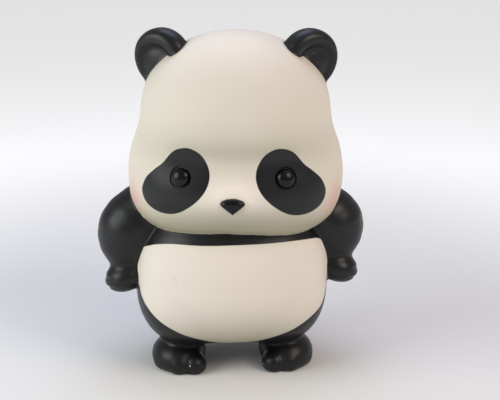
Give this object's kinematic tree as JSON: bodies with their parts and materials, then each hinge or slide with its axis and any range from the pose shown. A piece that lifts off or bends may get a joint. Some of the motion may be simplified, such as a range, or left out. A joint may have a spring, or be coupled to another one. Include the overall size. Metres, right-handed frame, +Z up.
{
  "type": "panda figurine",
  "caption": "Standing stylised panda figurine with a large rounded head, cupped ears, domed eyes, a nose pad, hands on its hips and flat soles.",
  "frame": {"origin": "centre of the bounding box's base, on the floor between the soles", "axes": "+Z up from the soles to the ears, -Y the way the body faces, +X to the right of someone who looks at its face"},
  "size_m": [0.3494, 0.2494, 0.4499],
  "materials": {
    "satin_painted_resin": "satin cream and charcoal black paint on cast resin",
    "gloss_black_resin": "polished gloss black"
  },
  "bodies": {
    "root": {"figure": "satin_painted_resin", "eye_left": "gloss_black_resin", "eye_right": "gloss_black_resin", "nose": "gloss_black_resin"}
  },
  "joints": []
}
